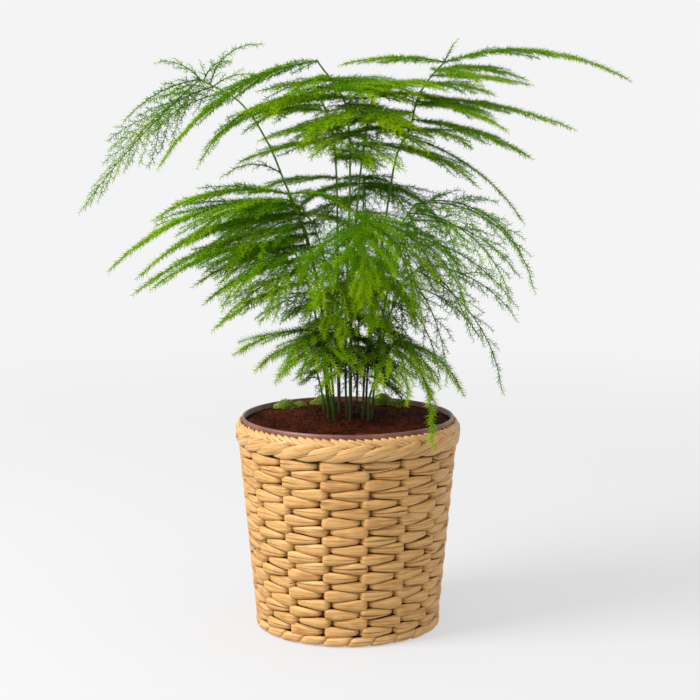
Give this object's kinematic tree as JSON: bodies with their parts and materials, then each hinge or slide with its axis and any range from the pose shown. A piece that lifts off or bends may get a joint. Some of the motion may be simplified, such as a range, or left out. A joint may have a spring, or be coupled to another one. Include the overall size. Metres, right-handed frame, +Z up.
{
  "type": "potted asparagus fern",
  "caption": "Feathery asparagus fern with arching stems and level sprays of fine needles, in a brown pot inside a round woven water hyacinth basket.",
  "frame": {"origin": "centre of the flat underside of the basket's floor", "axes": "+Z up along the axis of the basket, -Y towards the front of the plant, +X to its right"},
  "size_m": [0.4755, 0.2788, 0.5141],
  "materials": {
    "strand": "dry plaited plant stalk",
    "rim": "dry plaited plant stalk",
    "pot": "satin moulded plastic",
    "soil": "crumbly peat and bark",
    "moss": "soft moss",
    "foliage": "fresh leaf"
  },
  "bodies": {
    "root": {"basket_floor": "strand", "foot_braid": "rim", "basket_wall": "strand", "basket_rim": "rim", "inner_pot": "pot", "soil": "soil", "moss_1": "moss", "moss_2": "moss", "moss_3": "moss", "moss_4": "moss", "moss_5": "moss", "frond_left_arch": "foliage", "frond_left_top": "foliage", "frond_left_middle": "foliage", "frond_centre_top": "foliage", "frond_right_top": "foliage", "frond_left_low": "foliage", "frond_left_front": "foliage", "frond_left_skirt": "foliage", "frond_front_centre": "foliage", "frond_right_front": "foliage", "frond_right_low": "foliage", "frond_right_back": "foliage", "frond_back_centre": "foliage", "frond_back_left": "foliage", "frond_front_low": "foliage", "frond_seedling": "foliage"}
  },
  "joints": []
}
